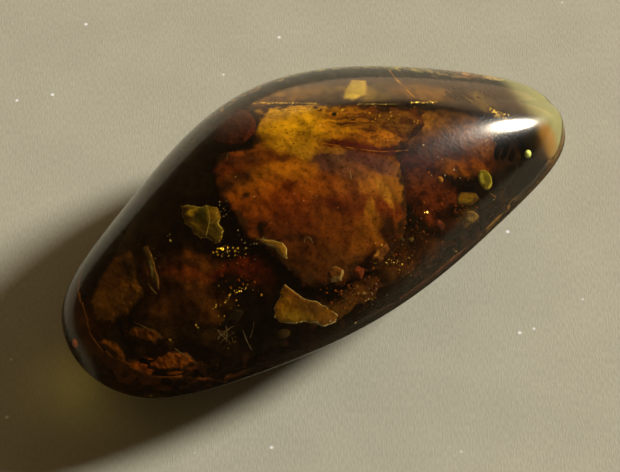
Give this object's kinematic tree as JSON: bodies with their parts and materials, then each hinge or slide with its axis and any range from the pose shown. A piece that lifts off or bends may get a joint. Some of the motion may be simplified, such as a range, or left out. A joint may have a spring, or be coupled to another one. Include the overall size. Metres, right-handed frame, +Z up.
{
  "type": "amber piece",
  "caption": "Tumbled pebble of clear dark amber, round at one end and pointed at the other, with cloudy resin layers, plant flakes and bark crumbs sealed in it.",
  "frame": {"origin": "centre of the bounding box in plan, on the flat polished face that the pebble rests on", "axes": "+X towards the pointed end, +Z up from the flat face, +Y towards the side with the larger bulge"},
  "size_m": [0.06, 0.0306, 0.0183],
  "materials": {
    "clear_amber": "clear polished fossil resin, fine wear",
    "cloudy_resin": "cloudy orange and gold fossil resin",
    "dark_debris": "dark bark dust in resin",
    "maroon_resin": "dark red resin",
    "olive_flake": "olive plant scale and bark with pale edges",
    "mustard_flake": "mustard yellow plant scale with pale edges",
    "rust_resin": "rust brown resin lobes",
    "orange_resin": "orange resin lumps"
  },
  "bodies": {
    "root": {"amber_upper": "clear_amber", "amber_lower": "clear_amber", "cloudy_flow_layer": "cloudy_resin", "dark_debris_layer": "dark_debris", "maroon_lobe": "maroon_resin", "veined_flake": "olive_flake", "wedge_flake": "mustard_flake", "thumb_flake": "mustard_flake", "gold_flake": "mustard_flake", "leaf_sliver": "olive_flake", "curled_flake": "olive_flake", "round_scale": "mustard_flake", "rust_lobe_1": "rust_resin", "rust_lobe_2": "rust_resin", "rust_lobe_3": "rust_resin", "rust_lobe_4": "rust_resin", "bark_chip_1": "olive_flake", "bark_chip_2": "olive_flake", "resin_lump_1": "orange_resin", "resin_lump_2": "orange_resin", "resin_lump_3": "orange_resin", "resin_lump_4": "orange_resin"}
  },
  "joints": []
}
